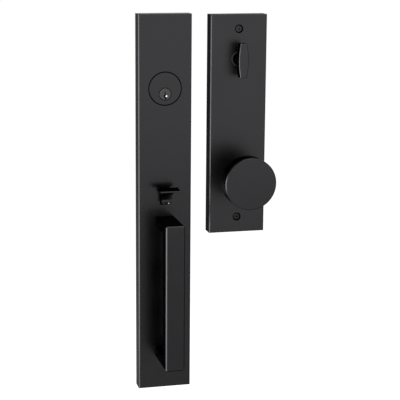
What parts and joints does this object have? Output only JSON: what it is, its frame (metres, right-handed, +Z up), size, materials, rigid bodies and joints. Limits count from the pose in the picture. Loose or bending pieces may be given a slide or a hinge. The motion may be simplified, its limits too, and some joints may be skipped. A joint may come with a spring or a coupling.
{
  "type": "entry door handleset",
  "caption": "Matte black handleset: long exterior plate with D grip, thumbpiece and key cylinder; shorter interior plate with thumbturn and round knob.",
  "frame": {"origin": "on the door face, on the axis of the round cylinder housing of the exterior trim", "axes": "+Z up the plates, +Y into the door, +X to the viewer's right, towards the interior trim"},
  "size_m": [0.1556, 0.1365, 0.456],
  "materials": {
    "black_casting": "matte black coating",
    "black_plug": "satin black coating",
    "black_steel": "black coated steel",
    "bright_steel": "bright ground end",
    "steel": "plain zinc-plated",
    "zinc": "plain die casting",
    "nylon": "black, plain moulded"
  },
  "bodies": {
    "trims": {"exterior_plate": "black_casting", "plate_posts": "steel", "grip": "black_casting", "grip_screws": "steel", "cylinder_housing": "black_casting", "cylinder_retainer": "steel", "retainer_screws": "steel", "pivot_pin": "steel", "pivot_clips": "steel", "thumbpiece_spring": "steel", "latch_carrier": "steel", "carrier_screws": "steel", "interior_plate": "black_casting", "through_bolts": "black_steel", "thumbturn_bush": "nylon", "thumbturn_washer": "nylon", "knob_bush": "nylon", "cassette_housing": "zinc", "cassette_spring": "steel", "cassette_screws": "steel"},
    "plug": {"key_plug": "black_plug", "drill_guard_pin": "bright_steel", "plug_clip": "steel", "torque_blade": "steel", "blade_pin": "steel"},
    "thumb": {"thumbpiece": "black_casting"},
    "hub": {"lift_hub": "zinc"},
    "turn": {"thumbturn": "black_casting", "thumbturn_ring": "steel"},
    "knob": {"knob": "black_casting", "knob_ring": "steel", "knob_spindle": "steel", "knob_set_screw": "steel", "cassette_rotor": "zinc"}
  },
  "joints": [
    {"name": "key_turn", "type": "hinge", "parent": "trims", "child": "plug", "pos_m": [0, 0, -0.0064], "axis": [0, 1, 0], "range_deg": [-90, 90]},
    {"name": "thumb_press", "type": "hinge", "parent": "trims", "child": "thumb", "pos_m": [0, -0.01, -0.1304], "axis": [1, 0, 0], "range_deg": [0, 18], "stiffness_Nm_per_rad": 0.25, "springref_deg": -20.05, "deforming": ["thumbpiece_spring"]},
    {"name": "hub_turn", "type": "hinge", "parent": "trims", "child": "hub", "pos_m": [0, -0.01, -0.1461], "axis": [0, -1, 0], "range_deg": [0, 22.5]},
    {"name": "deadbolt_turn", "type": "hinge", "parent": "trims", "child": "turn", "pos_m": [0.0893, -0.01, 0.0332], "axis": [0, 1, 0], "range_deg": [0, 90]},
    {"name": "knob_turn", "type": "hinge", "parent": "trims", "child": "knob", "pos_m": [0.0893, -0.01, -0.1065], "axis": [0, 1, 0], "range_deg": [-50, 50], "stiffness_Nm_per_rad": 0.3, "deforming": ["cassette_spring"]}
  ],
  "couplings": [
    {"joint": "hub_turn", "follows": "thumb_press", "ratio": 1.25}
  ]
}
